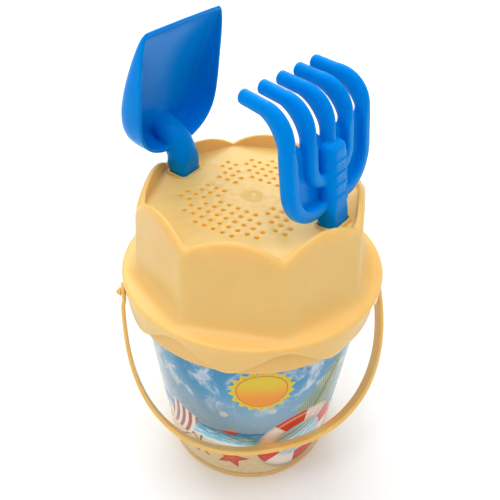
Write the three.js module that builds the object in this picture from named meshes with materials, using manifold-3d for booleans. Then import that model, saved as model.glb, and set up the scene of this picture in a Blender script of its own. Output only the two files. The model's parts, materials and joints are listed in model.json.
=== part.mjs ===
// Toy sand bucket set: a bucket with a carry strap, a castle mould that is also its lid and sieve,
// and a shovel and a rake that stand in the mould's two sockets.
// Millimetres, +Z up. The origin is the middle of the bucket's flat underside; the strap's pins lie on X.

import * as THREE from "three";
import { mergeVertices } from "three/addons/utils/BufferGeometryUtils.js";
import Module from "manifold-3d";

const wasm = await Module();
wasm.setup();

const DEG = Math.PI / 180;
const GAP = 0.3;                    // clearance between pieces that touch

// Bucket
const BASE_RADIUS = 64.1;           // bare wall at z = 0
const WALL_SLOPE = 0.0998;          // radius gained per mm of height
const WALL = 1.8;
const FLOOR = 2.6;
const FOOT_HEIGHT = 4.4;            // ring left bare below the label
const FOOT_PROUD = 0.9;
const FOOT_CHAMFER = 1.5;
const FLOOR_CHAMFER = 3;            // inside, where the wall meets the floor
const RIM_TOP = 164;
const RIM_CHAMFER = 2;
const RIM_RADIUS = 86;              // outside of the turned-down rim
const RIM_BOTTOM = 144.5;
const ROUND_STEPS = 64;
const PIN_STEPS = 16;

// Label
const LABEL_THICKNESS = 0.3;
const LABEL_LOW = FOOT_HEIGHT + GAP;
const LABEL_HIGH = 143;

// Pins and carry strap
const PIN_Z = 151.5;
const PIN_RADIUS = 2.4;
const PIN_SHOULDER = [4.2, 88.8];   // radius and reach of the boss that keeps the strap off the rim
const BARB_RADIUS = 3.5;
const BARB_START = 92.4;
const BARB_END = 95.4;
const BARB_TIP_RADIUS = 0.6;
const PIN_ROOT = 1;                 // how far the pin is sunk into the rim
const STRAP_THICKNESS = 2.6;
const STRAP_REACH = 126;            // from the pins to the middle of the bow
const STRAP_HALF_WIDTH = 92.3;      // widest half-width of the bow
const STRAP_SWELL = 3.2;            // length over which it widens below the eyes
const BOW_START = 24;               // distance from the pins where it begins to close
const BOW_POWER = 2.33;             // 2 would be an ellipse
const STRAP_EYE_X = 90.6;           // middle of the strap's thickness at the pins
const STRAP_BAND = 12.6;
const STRAP_EYE = 3.0;              // radius of the eye
const STRAP_HANG = 37.0;            // angle forward of straight down, where it rests on the bucket

// Castle mould
const SIEVE_TOP = 218.5;
const SIEVE_THICKNESS = 2.2;
const TOWER_TOP_CORNER = 76.6;      // corner radii of the eight-sided tower
const TOWER_FOOT_CORNER = 80.9;
const TOWER_FOOT = 173;             // height where the wall curves out into the flange
const MOULD_WALL = 2;
const CREST_WIDTH = 4.1;
const CREST_ROUND = [[3.2, 0], [1, 1.9], [0, 6.5]];   // outer edge, in from the wall and down from the top
const CREST_FOOT = 1.9;             // how much wider the crest is where it meets the sieve
const CREST_CORNER = 220.3;         // height of the crest at the corners
const CREST_RISE = 8.6;             // and how far it rises between them
const FLANGE = [[86.5, 168.8], [88.9, 167.8], [90, 165.4]];   // its rounded shoulder, radius and height
const SKIRT_RADIUS = 90;
const SKIRT_DRAFT = 1.1;
const SKIRT_INNER = 87.2;
const SKIRT_MEAN = 154.4;           // wavy lower edge of the skirt
const SKIRT_WAVE = 7.9;
const SIDES = 8;
const SIDE_ANGLE = 360 / SIDES;
const MOULD_STEPS = 64;

// Sieve holes
const HOLE_RADIUS = 1.55;
const HOLE_FIRST = 3.9;
const HOLE_PITCH = 4.7;
const HOLE_FIELD = [14.5, 47.5];
const SOCKET_AISLE = 5;             // half-width of the plain strip between the sockets
const SOCKET_CLEAR = [36, 17];      // from this far out the strip widens to this half-width

// Tools and their sockets
const SOCKET_CENTRE = 56.5;
const SHOVEL_ANGLE = 135;
const RAKE_ANGLE = -45;
const RAKE_TWIST = -5;              // the rake stands slightly turned in its socket
const TOOL_LEAN = 7.5;              // both tools lean towards the middle
const SHANK = [18.4, 12.5];
const SHANK_CORNER = 3;
const SHANK_DEPTH = 95;             // below the sieve
const SHANK_TAPER = [3.4, 2.4];     // lost in width and depth from the top to the tip
const SHANK_TIP = 2;                // length of the chamfered tip
const SOCKET_CLEARANCE = 0.6;
const LIP_WIDTH = 1.2;
const LIP_HEIGHT = 2;

// Shovel blade, in the shovel's own frame
const RIM_PLANE = 5.8;              // the blade's open face, outward of the shank's axis
const BLADE_THICKNESS = 2.2;
const BLADE_DEPTH = 17.3;
const BLADE_DEEPEST = 45;
const BLADE_FALL = 1.6;             // how its depth fades to the lip; 1 would be a straight line
const BLADE_TOP = 102.5;
const BLADE_MIDDLE = 58;
const WALL_SHARE = 0.26;            // share of the way in from the outline where the floor begins
const WALL_POWER = 3.5;             // 2 would curve the wall as an ellipse
const NECK = [9.8, 7.2];                // half-width and half-depth of the neck

// Rake head, in the rake's own frame
const TINE_RADIUS = 4;              // half-width across the head
const TINE_DEPTH = 4.7;             // half-depth
const TINE_SWELL = 0.6;             // added to the half-depth from the bend on
const TINE_PLANE = -2.7;
const TINE_SPACING = 19.7;
const TIP_SPACING = 17.1;
const TINE_STRAIGHT = 59.4;         // square below this, round above
const TINE_BEND = 22.3;
const TINE_BEND_ANGLE = 74;
const TINE_END = 15.8;
const OUTER_BAR = 14.8;             // height of the bar's middle
const INNER_BAR = 32;
const OUTER_CORNER = 22;
const INNER_CORNER = 12;
const WEB_THICKNESS = 3.2;          // plate between the tines, flush with their inner side
const WEB_LOW = 52;                 // its arched top edge, at the tines
const WEB_RISE = 8;
const GRIP_TOP = 53;
const GRIP_CHAMFER = [2.5, 5];        // in from each side, and down

const CREAM = new THREE.Color(0.96, 0.79, 0.46);
const BLUE = new THREE.Color(0.01, 0.4, 0.83);
const SKY = new THREE.Color(0.45, 0.68, 0.86);

const plastic = (color) => new THREE.MeshStandardMaterial({ color, roughness: 0.35, metalness: 0 });
const wallRadius = (z) => BASE_RADIUS + WALL_SLOPE * z;

// ---------- meshes and solids ----------

function toManifold(geometry, matrix) {
  const bare = geometry.index ? geometry.toNonIndexed() : geometry.clone();
  for (const name of Object.keys(bare.attributes)) {
    if (name !== "position") bare.deleteAttribute(name);
  }
  if (matrix) bare.applyMatrix4(matrix);
  const merged = mergeVertices(bare, 1e-4);
  const index = merged.index.array;
  const triVerts = [];
  for (let i = 0; i < index.length; i += 3) {
    const [a, b, c] = [index[i], index[i + 1], index[i + 2]];
    if (a !== b && b !== c && c !== a) triVerts.push(a, b, c);
  }
  return new wasm.Manifold(new wasm.Mesh({
    numProp: 3,
    vertProperties: new Float32Array(merged.attributes.position.array),
    triVerts: new Uint32Array(triVerts),
  }));
}

function toGeometry(manifold) {
  const mesh = manifold.getMesh();
  const geometry = new THREE.BufferGeometry();
  geometry.setAttribute("position", new THREE.BufferAttribute(mesh.vertProperties, 3));
  geometry.setIndex(new THREE.BufferAttribute(mesh.triVerts, 1));
  geometry.computeVertexNormals();
  return geometry;
}

const unite = (solids) => solids.reduce((sum, solid) => sum.add(solid));

// A closed skin over rings of points. A ring of one point is a pole; other end rings get a flat fan.
function loft(rings) {
  const points = [];
  const starts = rings.map((ring) => points.push(...ring) - ring.length);
  const faces = [];
  for (let r = 0; r + 1 < rings.length; r++) {
    const [a, b] = [rings[r], rings[r + 1]];
    const n = Math.max(a.length, b.length);
    for (let i = 0; i < n; i++) {
      const j = (i + 1) % n;
      const [a0, a1] = [starts[r] + (i % a.length), starts[r] + (j % a.length)];
      const [b0, b1] = [starts[r + 1] + (i % b.length), starts[r + 1] + (j % b.length)];
      if (a.length > 1) faces.push(a0, a1, b1);
      if (b.length > 1) faces.push(a0, b1, b0);
    }
  }
  for (const [r, flip] of [[0, true], [rings.length - 1, false]]) {
    if (rings[r].length === 1) continue;
    const middle = rings[r].reduce((sum, p) => sum.add(p), new THREE.Vector3()).divideScalar(rings[r].length);
    const hub = points.push(middle) - 1;
    for (let i = 0; i < rings[r].length; i++) {
      const [p, q] = [starts[r] + i, starts[r] + ((i + 1) % rings[r].length)];
      faces.push(...(flip ? [hub, q, p] : [hub, p, q]));
    }
  }
  let volume = 0;
  for (let i = 0; i < faces.length; i += 3) {
    const [a, b, c] = [points[faces[i]], points[faces[i + 1]], points[faces[i + 2]]];
    volume += a.dot(new THREE.Vector3().crossVectors(b, c));
  }
  if (volume < 0) faces.reverse();
  const geometry = new THREE.BufferGeometry().setFromPoints(points);
  geometry.setIndex(faces);
  return geometry;
}

// A body of revolution about Z from [radius, height] points
function turned(profile, steps = ROUND_STEPS) {
  const points = profile.map(([r, z]) => new THREE.Vector2(r, z));
  return toManifold(new THREE.LatheGeometry(points, steps).rotateX(90 * DEG));
}

// A rounded rectangle, as a closed ring of points at height z
function rectangleRing(width, depth, corner, z, centre = [0, 0]) {
  const ring = [];
  for (const [sx, sy, start] of [[1, 1, 0], [-1, 1, 90], [-1, -1, 180], [1, -1, 270]]) {
    for (const turn of [0, 45, 90]) {
      const angle = (start + turn) * DEG;
      const x = sx * (width / 2 - corner) + corner * Math.cos(angle);
      const y = sy * (depth / 2 - corner) + corner * Math.sin(angle);
      ring.push(new THREE.Vector3(centre[0] + x, centre[1] + y, z));
    }
  }
  return ring;
}

function tube(points, width, depth, steps, sides = 8) {
  const path = new THREE.CatmullRomCurve3(points, false, "centripetal");
  const section = new THREE.Shape().absellipse(0, 0, width, depth, 0, 360 * DEG);
  const options = { steps, extrudePath: path, curveSegments: sides };
  return toManifold(new THREE.ExtrudeGeometry(section, options));
}

// ---------- bucket ----------

function bucketBody() {
  const foot = BASE_RADIUS + FOOT_PROUD;
  const tub = turned([
    [0, 0],
    [foot - FOOT_CHAMFER, 0],
    [foot, FOOT_CHAMFER],
    [foot, FOOT_HEIGHT],
    [wallRadius(FOOT_HEIGHT), FOOT_HEIGHT],
    [wallRadius(RIM_TOP - WALL), RIM_TOP - WALL],
    [RIM_RADIUS - WALL, RIM_TOP - WALL],
    [RIM_RADIUS - WALL, RIM_BOTTOM],
    [RIM_RADIUS, RIM_BOTTOM],
    [RIM_RADIUS, RIM_TOP - RIM_CHAMFER],
    [RIM_RADIUS - RIM_CHAMFER, RIM_TOP],
    [wallRadius(RIM_TOP) - WALL, RIM_TOP],
    [wallRadius(FLOOR + FLOOR_CHAMFER) - WALL, FLOOR + FLOOR_CHAMFER],
    [wallRadius(FLOOR) - WALL - FLOOR_CHAMFER, FLOOR],
    [0, FLOOR],
  ]);
  const pinProfile = [
    [0, RIM_RADIUS - PIN_ROOT],
    [PIN_SHOULDER[0], RIM_RADIUS - PIN_ROOT],
    PIN_SHOULDER,
    [PIN_RADIUS, PIN_SHOULDER[1]],
    [PIN_RADIUS, BARB_START],
    [BARB_RADIUS, BARB_START],
    [BARB_TIP_RADIUS, BARB_END],
    [0, BARB_END],
  ];
  const pins = [1, -1].map((side) => {
    const along = new THREE.Matrix4().makeTranslation(0, 0, PIN_Z);
    along.multiply(new THREE.Matrix4().makeRotationY(side * 90 * DEG));
    return toManifold(toGeometry(turned(pinProfile, PIN_STEPS)), along);
  });
  return unite([tub, ...pins]);
}

function labelFilm() {
  const inner = (z) => wallRadius(z) + GAP;
  const outer = (z) => inner(z) + LABEL_THICKNESS;
  return turned([
    [inner(LABEL_LOW), LABEL_LOW],
    [outer(LABEL_LOW), LABEL_LOW],
    [outer(LABEL_HIGH), LABEL_HIGH],
    [inner(LABEL_HIGH), LABEL_HIGH],
    [inner(LABEL_LOW), LABEL_LOW],
  ]);
}

// ---------- carry strap ----------

// Half-width of the bow at a distance from the pins: it swells below the eyes, then rounds in
function strapHalfWidth(reach) {
  const free = Math.max(0, reach - STRAP_BAND / 2);
  const swell = (STRAP_HALF_WIDTH - STRAP_EYE_X) * (1 - Math.exp(-free / STRAP_SWELL));
  const along = Math.max(0, (reach - BOW_START) / (STRAP_REACH - BOW_START));
  return (STRAP_EYE_X + swell) * Math.pow(Math.max(0, 1 - along ** BOW_POWER), 1 / BOW_POWER);
}

function carryStrap() {
  const half = STRAP_THICKNESS / 2;
  const stations = 18;
  const bow = Array.from({ length: stations }, (_, i) => Math.sin(((i + 1) / stations) * 90 * DEG));
  const reaches = [0, 1.5, 3, 5, 8, ...bow.map((share) => share * (STRAP_REACH - STRAP_BAND / 2))];
  const middle = [new THREE.Vector2(STRAP_EYE_X, STRAP_BAND / 2)];
  for (const free of reaches) {
    const reach = STRAP_BAND / 2 + free;
    middle.push(new THREE.Vector2(strapHalfWidth(reach), -reach));
  }
  middle[middle.length - 1].x = 0;
  const left = middle.slice(0, -1).reverse().map((p) => new THREE.Vector2(-p.x, p.y));
  const line = [...middle, ...left];
  const side = (offset) => line.map((p, i) => {
    const before = line[Math.max(0, i - 1)];
    const after = line[Math.min(line.length - 1, i + 1)];
    const along = after.clone().sub(before).normalize();
    return new THREE.Vector2(p.x - along.y * offset, p.y + along.x * offset);
  });
  const outline = new THREE.Shape([...side(half), ...side(-half).reverse()]);
  const band = new THREE.ExtrudeGeometry(outline, { depth: STRAP_BAND, bevelEnabled: false });
  band.translate(0, 0, -STRAP_BAND / 2);

  // Seen along X the band has a round end about each eye
  const beyond = 10;
  const cheek = new THREE.Shape();
  cheek.absarc(0, 0, STRAP_BAND / 2, 0, 180 * DEG);
  cheek.lineTo(-STRAP_BAND / 2, -STRAP_REACH - beyond);
  cheek.lineTo(STRAP_BAND / 2, -STRAP_REACH - beyond);
  const width = 2 * (STRAP_HALF_WIDTH + beyond);
  const ends = new THREE.ExtrudeGeometry(cheek, { depth: width, bevelEnabled: false, curveSegments: 12 });
  ends.translate(0, 0, -width / 2).rotateY(90 * DEG);
  const eyes = new THREE.CylinderGeometry(STRAP_EYE, STRAP_EYE, width, 16).rotateZ(90 * DEG);

  const flat = toManifold(band).intersect(toManifold(ends)).subtract(toManifold(eyes));
  return toManifold(toGeometry(flat), strapPlace());
}

// The strap's own frame is flat in XY with the bow towards -Y; it is stood up and swung forward
function strapPlace() {
  const stand = new THREE.Matrix4().makeRotationX((90 - STRAP_HANG) * DEG);
  return new THREE.Matrix4().makeTranslation(0, 0, PIN_Z).multiply(stand);
}

// ---------- castle mould ----------

const sideAngle = (angle) => ((angle % SIDE_ANGLE) + SIDE_ANGLE) % SIDE_ANGLE - SIDE_ANGLE / 2;

// Eight flat sides, with the corners on the axes and the diagonals
function octagon(corner, angle) {
  return (corner * Math.cos((SIDE_ANGLE / 2) * DEG)) / Math.cos(sideAngle(angle) * DEG);
}

// Each side's crest is an arch
function crestHeight(angle) {
  const across = Math.tan(sideAngle(angle) * DEG) / Math.tan((SIDE_ANGLE / 2) * DEG);
  return CREST_CORNER + CREST_RISE * (1 - across * across);
}

const skirtEdge = (angle) => SKIRT_MEAN + SKIRT_WAVE * Math.cos(SIDES * angle * DEG);

function mouldShell() {
  const underside = RIM_TOP + GAP;
  const ceiling = SIEVE_TOP - SIEVE_THICKNESS;
  const draft = (TOWER_FOOT_CORNER - TOWER_TOP_CORNER) / (SIEVE_TOP - TOWER_FOOT);
  const crestInside = TOWER_TOP_CORNER - CREST_WIDTH;
  const innerCorner = (z) => TOWER_TOP_CORNER - MOULD_WALL + draft * (SIEVE_TOP - z);
  const blend = (a, b, t) => a + (b - a) * t;
  const rings = [
    (a) => [octagon(crestInside - CREST_FOOT, a), SIEVE_TOP],
    (a) => [octagon(crestInside, a), crestHeight(a)],
    ...CREST_ROUND.map(([inward, down]) => {
      return (a) => [octagon(TOWER_TOP_CORNER - inward, a), crestHeight(a) - down];
    }),
    (a) => [octagon(TOWER_FOOT_CORNER, a), TOWER_FOOT],
    (a) => [blend(octagon(TOWER_FOOT_CORNER, a), FLANGE[0][0], 0.3), blend(FLANGE[0][1], TOWER_FOOT, 0.25)],
    ...FLANGE.map((point) => () => point),
    (a) => [SKIRT_RADIUS - SKIRT_DRAFT, skirtEdge(a)],
    (a) => [SKIRT_INNER, skirtEdge(a)],
    () => [SKIRT_INNER, underside],
    (a) => [octagon(innerCorner(underside), a), underside],
    (a) => [octagon(innerCorner(ceiling), a), ceiling],
  ];
  const turn = 360 / MOULD_STEPS;
  const skin = rings.map((ring) => Array.from({ length: MOULD_STEPS }, (_, i) => {
    const [r, z] = ring(i * turn);
    return new THREE.Vector3(r * Math.cos(i * turn * DEG), r * Math.sin(i * turn * DEG), z);
  }));
  const pole = (z) => [new THREE.Vector3(0, 0, z)];
  return toManifold(loft([pole(SIEVE_TOP), ...skin, pole(ceiling)]));
}

// A diagonal grid of small holes, with a plain cross on the axes and plain ground round the sockets
function sieveHoles() {
  const steps = Math.ceil(HOLE_FIELD[1] / HOLE_PITCH);
  const holes = [];
  for (let column = 0; column < steps; column++) {
    for (let row = 0; row < steps; row++) {
      if ((column + row) % 2) continue;
      const [x, y] = [HOLE_FIRST + HOLE_PITCH * column, HOLE_FIRST + HOLE_PITCH * row];
      const radius = Math.hypot(x, y);
      if (radius < HOLE_FIELD[0] || radius > HOLE_FIELD[1]) continue;
      for (const [sx, sy] of [[1, 1], [-1, 1], [-1, -1], [1, -1]]) {
        const along = (x + y) * Math.SQRT1_2;
        const across = Math.abs(x - y) * Math.SQRT1_2;
        const aisle = across < SOCKET_AISLE || (along > SOCKET_CLEAR[0] && across < SOCKET_CLEAR[1]);
        if (sx * sy < 0 && aisle) continue;
        holes.push([sx * x, sy * y]);
      }
    }
  }
  return holes;
}

function sievePunch() {
  const depth = 2 * SIEVE_THICKNESS;
  const punch = new THREE.CylinderGeometry(HOLE_RADIUS, HOLE_RADIUS, depth, 6).rotateX(90 * DEG);
  const middle = SIEVE_TOP - SIEVE_THICKNESS / 2;
  return unite(sieveHoles().map(([x, y]) => {
    return toManifold(punch, new THREE.Matrix4().makeTranslation(x, y, middle));
  }));
}

function socketBlock(grow, low, high) {
  const [width, depth] = SHANK.map((size) => size + 2 * grow);
  const rings = [low, high].map((z) => rectangleRing(width, depth, SHANK_CORNER + grow / 2, z));
  return toManifold(loft(rings));
}

const TOOLS = [[SHOVEL_ANGLE, 0], [RAKE_ANGLE, RAKE_TWIST]];

// Places a tool's own frame: X across the blade, Y outward, Z up the shank from the sieve's face
function toolPlace([angle, twist]) {
  const [x, y] = [SOCKET_CENTRE * Math.cos(angle * DEG), SOCKET_CENTRE * Math.sin(angle * DEG)];
  return new THREE.Matrix4()
    .makeTranslation(x, y, SIEVE_TOP)
    .multiply(new THREE.Matrix4().makeRotationZ((angle + twist - 90) * DEG))
    .multiply(new THREE.Matrix4().makeRotationX(TOOL_LEAN * DEG));
}

function castleMould() {
  let mould = mouldShell().subtract(sievePunch());
  for (const tool of TOOLS) {
    const place = toolPlace(tool);
    const at = (solid) => toManifold(toGeometry(solid), place);
    const lip = at(socketBlock(SOCKET_CLEARANCE + LIP_WIDTH, -SIEVE_THICKNESS / 2, LIP_HEIGHT));
    const hole = at(socketBlock(SOCKET_CLEARANCE, -4 * SIEVE_THICKNESS, 3 * LIP_HEIGHT));
    mould = mould.add(lip).subtract(hole);
  }
  return mould;
}

// ---------- shovel ----------

// Half of the blade's outline in its open face, from the middle of the heel to the middle of the lip
const BLADE_OUTLINE = [
  [0, 17.5], [13, 18.3], [21, 20.6], [28.5, 24.6], [34.8, 31], [38.4, 39.5], [39.8, 52], [39.6, 74],
  [38.9, 89], [37.4, 97], [33.5, BLADE_TOP - 0.6], [0, BLADE_TOP],
];

function bladeOutline(count) {
  const right = BLADE_OUTLINE.map(([x, z]) => new THREE.Vector3(x, 0, z));
  const left = BLADE_OUTLINE.slice(1, -1).reverse().map(([x, z]) => new THREE.Vector3(-x, 0, z));
  const curve = new THREE.CatmullRomCurve3([...right, ...left], true, "centripetal");
  return curve.getSpacedPoints(count).slice(0, count);
}

// Depth of the scoop behind its open face: deepest near the heel, nothing at the lip
function scoopDepth(z) {
  const along = (z - BLADE_DEEPEST) / (BLADE_TOP - BLADE_DEEPEST);
  return BLADE_DEPTH * (along < 0 ? 1 : Math.max(0, 1 - along ** BLADE_FALL));
}

function shovelBlade() {
  const outline = bladeOutline(48);
  const middle = new THREE.Vector3(0, 0, BLADE_MIDDLE);
  const shares = [0, 0.01, 0.04, 0.1, 0.17, WALL_SHARE, 0.6];
  const rise = (share) => {
    return (1 - Math.max(0, 1 - share / WALL_SHARE) ** WALL_POWER) ** (1 / WALL_POWER);
  };
  const surface = (inset, extra) => shares.map((share) => outline.map((point) => {
    const inward = middle.clone().sub(point);
    const reach = inward.length();
    const p = point.clone().addScaledVector(inward, share + (inset * (1 - share)) / reach);
    p.y = RIM_PLANE + (scoopDepth(p.z) + extra) * rise(share);
    return p;
  }));
  const back = surface(0, BLADE_THICKNESS);
  const front = surface(BLADE_THICKNESS, 0).reverse();
  const hub = (extra) => [new THREE.Vector3(0, RIM_PLANE + scoopDepth(middle.z) + extra, middle.z)];
  return toManifold(loft([hub(0), ...front, ...back, hub(BLADE_THICKNESS)]));
}

function shank(top) {
  const [width, depth] = SHANK.map((size, i) => size - SHANK_TAPER[i]);
  const rings = [
    rectangleRing(width - SHANK_TIP, depth - SHANK_TIP, SHANK_CORNER, -SHANK_DEPTH),
    rectangleRing(width, depth, SHANK_CORNER, -SHANK_DEPTH + SHANK_TIP),
    rectangleRing(SHANK[0], SHANK[1], SHANK_CORNER, -SIEVE_THICKNESS),
    rectangleRing(SHANK[0], SHANK[1], SHANK_CORNER, top),
  ];
  return toManifold(loft(rings));
}

// The neck's middle line from the shank to the scoop: outward, up, and degrees leant over
const NECK_LINE = [
  [1, 6, 0], [2.4, 11, 8], [4.6, 16, 28], [8.6, 21.5, 50], [14.5, 25.5, 64], [21, 28.5, 66],
];

// Squarish at the shank, oval from the elbow on
function shovelNeck() {
  const corners = 16;
  const rings = NECK_LINE.map(([y, z, lean], i) => {
    const squareness = Math.max(0, 0.4 - 0.14 * i);
    const turn = new THREE.Matrix4().makeTranslation(0, y, z);
    turn.multiply(new THREE.Matrix4().makeRotationX(-lean * DEG));
    return Array.from({ length: corners }, (_, k) => {
      const [c, s] = [Math.cos((k / corners) * 360 * DEG), Math.sin((k / corners) * 360 * DEG)];
      const stretch = 1 + squareness * (1 / Math.max(Math.abs(c), Math.abs(s)) - 1);
      return new THREE.Vector3(NECK[0] * c * stretch, NECK[1] * s * stretch, 0).applyMatrix4(turn);
    });
  });
  return toManifold(loft(rings));
}

function shovel() {
  return unite([shank(10), shovelNeck(), shovelBlade()]);
}

// ---------- rake ----------

// The round upper part of one tine, from its tip down; place is -2 to 2 across the head
function tine(place, low) {
  const turn = TINE_BEND_ANGLE * DEG;
  const bendY = (angle) => TINE_PLANE - TINE_BEND * (1 - Math.cos(angle));
  const bendZ = (angle) => TINE_STRAIGHT + TINE_BEND * Math.sin(angle);
  const points = [new THREE.Vector3(
    place * TIP_SPACING,
    bendY(turn) - TINE_END * Math.sin(turn),
    bendZ(turn) + TINE_END * Math.cos(turn),
  )];
  const steps = 4;
  for (let i = steps; i >= 0; i--) {
    const angle = (turn * i) / steps;
    const x = place * (TINE_SPACING + ((TIP_SPACING - TINE_SPACING) * i) / (steps + 1));
    points.push(new THREE.Vector3(x, bendY(angle), bendZ(angle)));
  }
  points.push(new THREE.Vector3(place * TINE_SPACING, TINE_PLANE, low));
  return tube(points, TINE_RADIUS, TINE_DEPTH + TINE_SWELL, 16);
}

// A U-shaped outline in the head's plane, from its right top corner down, across and up to its left top
function cradle(half, bottom, corner, top) {
  const right = [new THREE.Vector2(half, top)];
  for (const turn of [0, 22.5, 45, 67.5, 90]) {
    const x = half - corner + corner * Math.cos(turn * DEG);
    const z = bottom + corner - corner * Math.sin(turn * DEG);
    right.push(new THREE.Vector2(x, z));
  }
  const left = [...right].reverse().map((p) => new THREE.Vector2(-p.x, p.y));
  return [...right, ...left];
}

// A plate standing in the head's plane, with its inner side where the tines' inner sides are
function headPlate(outline, thickness) {
  const options = { depth: thickness, bevelEnabled: false };
  const plate = new THREE.ExtrudeGeometry(new THREE.Shape(outline), options);
  plate.rotateX(90 * DEG).translate(0, TINE_PLANE - TINE_DEPTH + thickness, 0);
  return toManifold(plate);
}

// The straight lower part of two tines with the bar that joins them
function tinePair(place, bar, corner) {
  const edge = (offset) => {
    return cradle(place * TINE_SPACING + offset, bar - offset, corner + offset, TINE_STRAIGHT);
  };
  return headPlate([...edge(TINE_RADIUS), ...edge(-TINE_RADIUS).reverse()], 2 * TINE_DEPTH);
}

// The plate between the tines, with an arched top edge in each gap
function web() {
  const half = TINE_SPACING / 2 - TINE_RADIUS;
  const arch = [-1, -0.7, 0, 0.7, 1];
  const top = [-1.5, -0.5, 0.5, 1.5].flatMap((gap) => arch.map((share) => {
    const z = WEB_LOW + WEB_RISE * Math.sqrt(1 - share * share);
    return new THREE.Vector2(gap * TINE_SPACING + share * half, z);
  }));
  const outline = cradle(2 * TINE_SPACING, OUTER_BAR, OUTER_CORNER, WEB_LOW);
  return headPlate([...outline, ...top], WEB_THICKNESS);
}

function rake() {
  const [inward, down] = GRIP_CHAMFER;
  const grip = loft([
    rectangleRing(SHANK[0], SHANK[1], SHANK_CORNER, 0),
    rectangleRing(SHANK[0], SHANK[1], SHANK_CORNER, GRIP_TOP - down),
    rectangleRing(SHANK[0] - 2 * inward, SHANK[1] - 2 * inward, SHANK_CORNER, GRIP_TOP),
  ]);
  return unite([
    shank(1),
    toManifold(grip),
    tine(0, GRIP_TOP - 2 * down),
    ...[-2, -1, 1, 2].map((place) => tine(place, TINE_STRAIGHT - 1)),
    tinePair(2, OUTER_BAR, OUTER_CORNER),
    tinePair(1, INNER_BAR, INNER_CORNER),
    web(),
  ]);
}

// ---------- the set ----------

function part(name, solid, color) {
  const mesh = new THREE.Mesh(toGeometry(solid), plastic(color));
  mesh.name = name;
  return mesh;
}

function standing(mesh, tool) {
  const holder = new THREE.Group();
  holder.applyMatrix4(toolPlace(tool));
  holder.add(mesh);
  return holder;
}

const group = new THREE.Group();
group.add(part("bucket_tub", bucketBody(), CREAM));
group.add(part("label_film", labelFilm(), SKY));
group.add(part("carry_strap", carryStrap(), CREAM));
group.add(part("castle_mould", castleMould(), CREAM));
group.add(standing(part("shovel", shovel(), BLUE), TOOLS[0]));
group.add(standing(part("rake", rake(), BLUE), TOOLS[1]));

export default group;
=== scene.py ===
import json
import math

import bmesh
import bpy
import numpy as np
from mathutils import Matrix, Vector, geometry


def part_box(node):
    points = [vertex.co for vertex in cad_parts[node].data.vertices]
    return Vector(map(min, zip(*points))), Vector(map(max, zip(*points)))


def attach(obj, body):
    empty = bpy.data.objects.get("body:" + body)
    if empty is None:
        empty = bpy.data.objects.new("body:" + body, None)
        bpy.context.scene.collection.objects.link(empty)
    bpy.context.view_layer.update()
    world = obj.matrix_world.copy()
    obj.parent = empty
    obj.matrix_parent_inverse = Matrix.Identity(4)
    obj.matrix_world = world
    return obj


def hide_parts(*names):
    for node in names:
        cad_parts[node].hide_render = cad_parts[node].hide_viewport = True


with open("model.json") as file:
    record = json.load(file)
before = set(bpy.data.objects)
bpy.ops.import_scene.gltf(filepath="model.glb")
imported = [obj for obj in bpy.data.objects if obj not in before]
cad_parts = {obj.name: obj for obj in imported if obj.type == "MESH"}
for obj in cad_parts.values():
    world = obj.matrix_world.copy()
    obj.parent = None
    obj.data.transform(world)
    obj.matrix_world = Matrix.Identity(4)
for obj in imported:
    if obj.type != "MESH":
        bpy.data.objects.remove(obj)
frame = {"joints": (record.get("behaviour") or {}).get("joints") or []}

# Toy sand bucket set. Shapes are worked out in millimetres in the part's own frame, +Z up, and turned
# into metres when a piece is made.
MM = 0.001
DEG = math.pi / 180

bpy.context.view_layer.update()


def node_box(name):
    low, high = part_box(name)
    return np.array(low) / MM, np.array(high) / MM


TUB = node_box("bucket_tub")
LABEL = node_box("label_film")
MOULD = node_box("castle_mould")
JOINTS = {joint["name"]: joint for joint in frame["joints"]}

GAP = 0.3  # clearance between pieces that touch

# Bucket
BASE_RADIUS = 64.1  # bare wall at z = 0
WALL_SLOPE = 0.0998  # radius gained per mm of height
WALL = 1.8
FLOOR = 2.6
FOOT_HEIGHT = 4.4  # ring left bare below the label
FOOT_PROUD = 0.9
RIM_TOP = TUB[1][2]
RIM_RADIUS = TUB[1][1]
RIM_BOTTOM = 144.5
PIN_RADIUS = 2.4
PIN_SHOULDER = (4.2, 88.8)  # its radius, and its end's distance from the bucket's axis
BARB_RADIUS = 3.5
BARB_START = 92.4
BARB_END = TUB[1][0]

# Label
LABEL_THICKNESS = 0.3
LABEL_LOW, LABEL_HIGH = LABEL[0][2], LABEL[1][2]

# Strap
PIN_Z = JOINTS["strap_swing"]["pos_m"][2] / MM
STRAP_THICKNESS = 2.6
STRAP_REACH = 125  # from the pins to the middle of the bow
STRAP_HALF_WIDTH = 92.3
STRAP_EYE_X = 90.6  # middle of the strap's thickness at the pins
STRAP_BAND = 12.6
STRAP_SWELL = 3.2  # length over which it widens below the eyes
BOW_START = 24  # distance from the pins where it begins to close
BOW_POWER = 2.33  # 2 would be an ellipse
BOW_SWELL = 0.3  # how much thicker the middle of the bow is
SWELL_START = 60
STRAP_EYE = 3.0
STRAP_HANG = 37.0  # angle forward of straight down

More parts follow.
